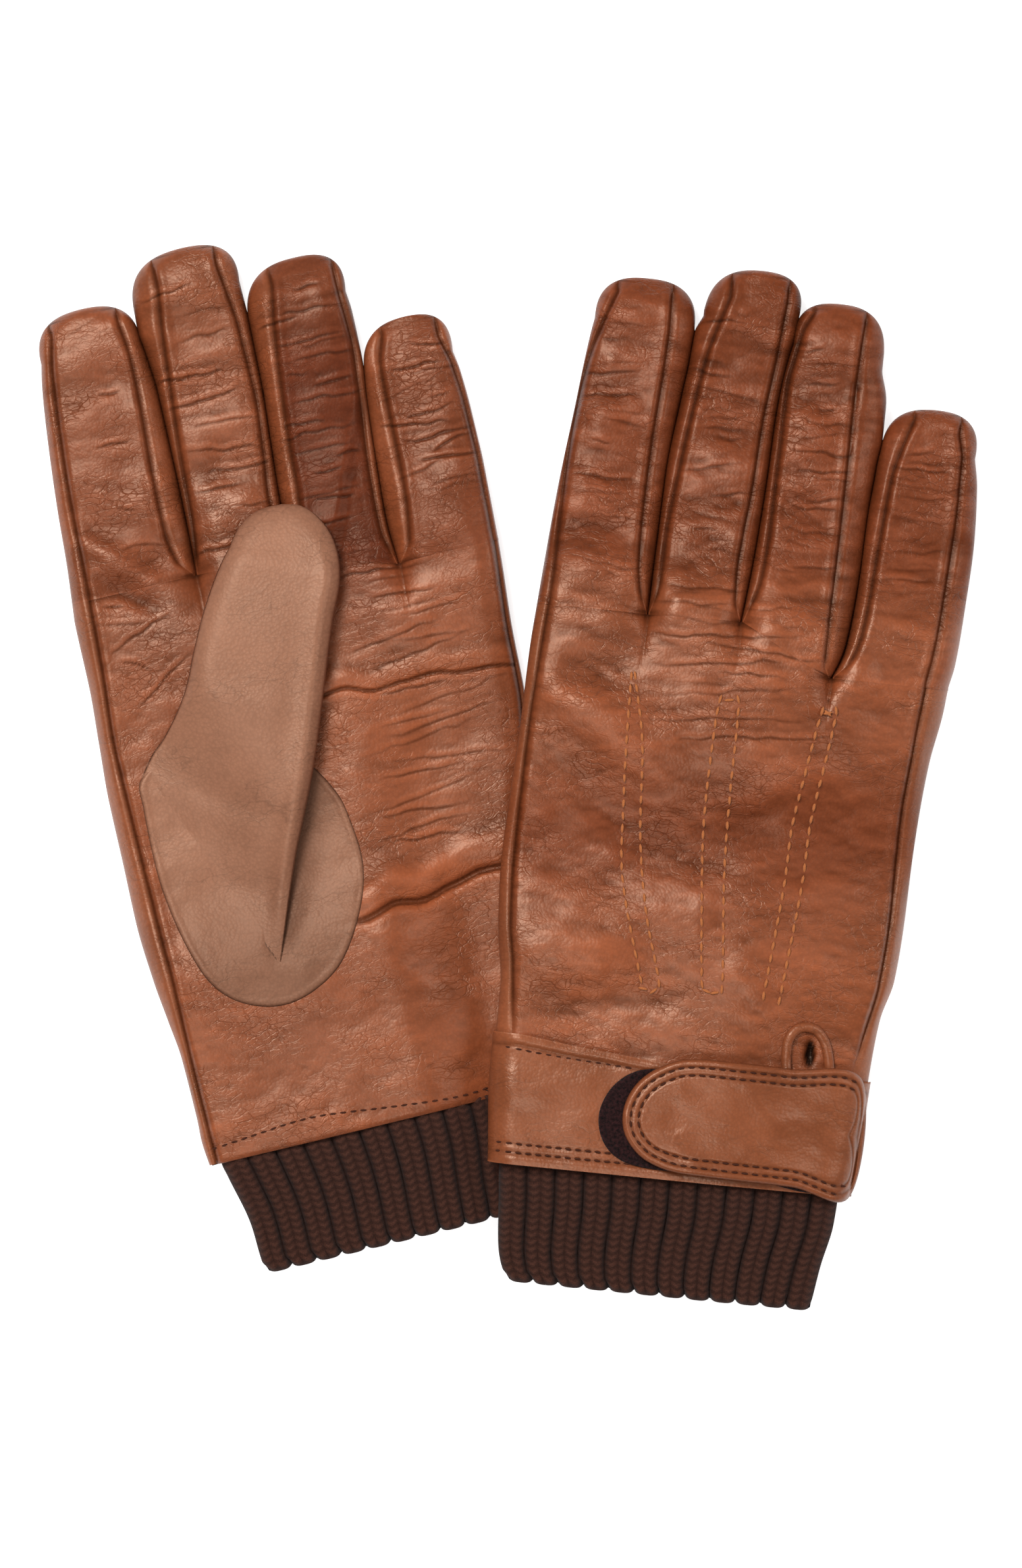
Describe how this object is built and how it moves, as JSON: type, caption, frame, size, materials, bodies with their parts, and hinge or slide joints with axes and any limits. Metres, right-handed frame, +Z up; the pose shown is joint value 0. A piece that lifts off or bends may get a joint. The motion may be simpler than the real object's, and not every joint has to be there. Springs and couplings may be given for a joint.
{
  "type": "touchscreen gloves",
  "caption": "Pair of brown leather touchscreen gloves with stitched fingers, back-seam points, hook-and-loop wrist straps and ribbed knit cuffs, laid flat.",
  "frame": {"origin": "centre of the bounding box of the pair, at the level it lies on", "axes": "+Y along the fingers, from the cuffs to the fingertips; +Z up, away from the surface the pair lies on; +X from the left glove to the right glove"},
  "size_m": [0.248, 0.2817, 0.0281],
  "materials": {
    "tan_leather": "matte",
    "thumb_leather": "matte",
    "edge_leather": "matte",
    "strap_leather": "matte",
    "brown_rib_knit": "matte",
    "hook_and_loop": "matte",
    "seam_thread": "matte",
    "dark_thread": "matte"
  },
  "bodies": {
    "left_hand": {"left_back_panel": "tan_leather", "left_palm_panel": "tan_leather", "left_index_side_strip": "edge_leather", "left_little_side_strip": "edge_leather", "left_fourchette_index_middle": "edge_leather", "left_fourchette_middle_ring": "edge_leather", "left_fourchette_ring_little": "edge_leather", "left_knit_cuff": "brown_rib_knit", "left_wrist_band": "strap_leather", "left_loop_patch": "hook_and_loop", "left_vent_binding": "edge_leather", "left_thumb_gusset": "thumb_leather"},
    "left_index_end": {"left_index_tip": "tan_leather"},
    "left_middle_end": {"left_middle_tip": "tan_leather"},
    "left_ring_end": {"left_ring_tip": "tan_leather"},
    "left_little_end": {"left_little_tip": "tan_leather"},
    "left_thumb_part": {"left_thumb": "thumb_leather"},
    "left_strap": {"left_closure_strap": "strap_leather", "left_hook_patch": "hook_and_loop"},
    "right_hand": {"right_back_panel": "tan_leather", "right_palm_panel": "tan_leather", "right_index_side_strip": "edge_leather", "right_little_side_strip": "edge_leather", "right_fourchette_index_middle": "edge_leather", "right_fourchette_middle_ring": "edge_leather", "right_fourchette_ring_little": "edge_leather", "right_knit_cuff": "brown_rib_knit", "right_wrist_band": "strap_leather", "right_loop_patch": "hook_and_loop", "right_vent_binding": "edge_leather", "right_thumb_gusset": "thumb_leather"},
    "right_index_end": {"right_index_tip": "tan_leather"},
    "right_middle_end": {"right_middle_tip": "tan_leather"},
    "right_ring_end": {"right_ring_tip": "tan_leather"},
    "right_little_end": {"right_little_tip": "tan_leather"},
    "right_thumb_part": {"right_thumb": "thumb_leather"},
    "right_strap": {"right_closure_strap": "strap_leather", "right_hook_patch": "hook_and_loop"}
  },
  "joints": [
    {"name": "gloves_apart", "type": "slide", "parent": "left_hand", "child": "right_hand", "axis": [0, 0, 1], "range_m": [0, 0.12]},
    {"name": "left_index_curl", "type": "hinge", "parent": "left_hand", "child": "left_index_end", "pos_m": [-0.10617, 0.08364, 0.01145], "axis": [0.9724, 0.2334, 0], "range_deg": [0, 85]},
    {"name": "left_middle_curl", "type": "hinge", "parent": "left_hand", "child": "left_middle_end", "pos_m": [-0.07823, 0.09447, 0.01145], "axis": [0.9724, 0.2334, 0], "range_deg": [0, 85]},
    {"name": "left_ring_curl", "type": "hinge", "parent": "left_hand", "child": "left_ring_end", "pos_m": [-0.05175, 0.09876, 0.01145], "axis": [0.9724, 0.2334, 0], "range_deg": [0, 85]},
    {"name": "left_little_curl", "type": "hinge", "parent": "left_hand", "child": "left_little_end", "pos_m": [-0.02181, 0.0895, 0.01181], "axis": [0.9724, 0.2334, 0], "range_deg": [0, 85]},
    {"name": "left_thumb_swing", "type": "hinge", "parent": "left_hand", "child": "left_thumb_part", "pos_m": [-0.07941, -0.02316, 0.0167], "axis": [0.5926, -0.8028, 0.0659], "range_deg": [0, 135]},
    {"name": "left_strap_peel", "type": "hinge", "parent": "left_hand", "child": "left_strap", "pos_m": [0.00553, -0.06489, -0.00002], "axis": [0.2334, -0.9724, 0], "range_deg": [0, 150]},
    {"name": "right_index_curl", "type": "hinge", "parent": "right_hand", "child": "right_index_end", "pos_m": [0.02725, 0.08397, 0.00425], "axis": [-0.995, 0.1004, 0], "range_deg": [0, 85]},
    {"name": "right_middle_curl", "type": "hinge", "parent": "right_hand", "child": "right_middle_end", "pos_m": [0.05547, 0.08514, 0.00365], "axis": [-0.995, 0.1004, 0], "range_deg": [0, 85]},
    {"name": "right_ring_curl", "type": "hinge", "parent": "right_hand", "child": "right_ring_end", "pos_m": [0.08232, 0.07942, 0.00275], "axis": [-0.995, 0.1004, 0], "range_deg": [0, 85]},
    {"name": "right_little_curl", "type": "hinge", "parent": "right_hand", "child": "right_little_end", "pos_m": [0.10899, 0.06165, 0.00093], "axis": [-0.995, 0.1004, 0], "range_deg": [0, 85]},
    {"name": "right_thumb_swing", "type": "hinge", "parent": "right_hand", "child": "right_thumb_part", "pos_m": [0.02072, -0.02603, 0.01025], "axis": [-0.2952, 0.9554, 0], "range_deg": [0, 90]},
    {"name": "right_strap_peel", "type": "hinge", "parent": "right_hand", "child": "right_strap", "pos_m": [0.08714, -0.09344, 0.01974], "axis": [0.1004, 0.995, 0], "range_deg": [0, 150]}
  ]
}
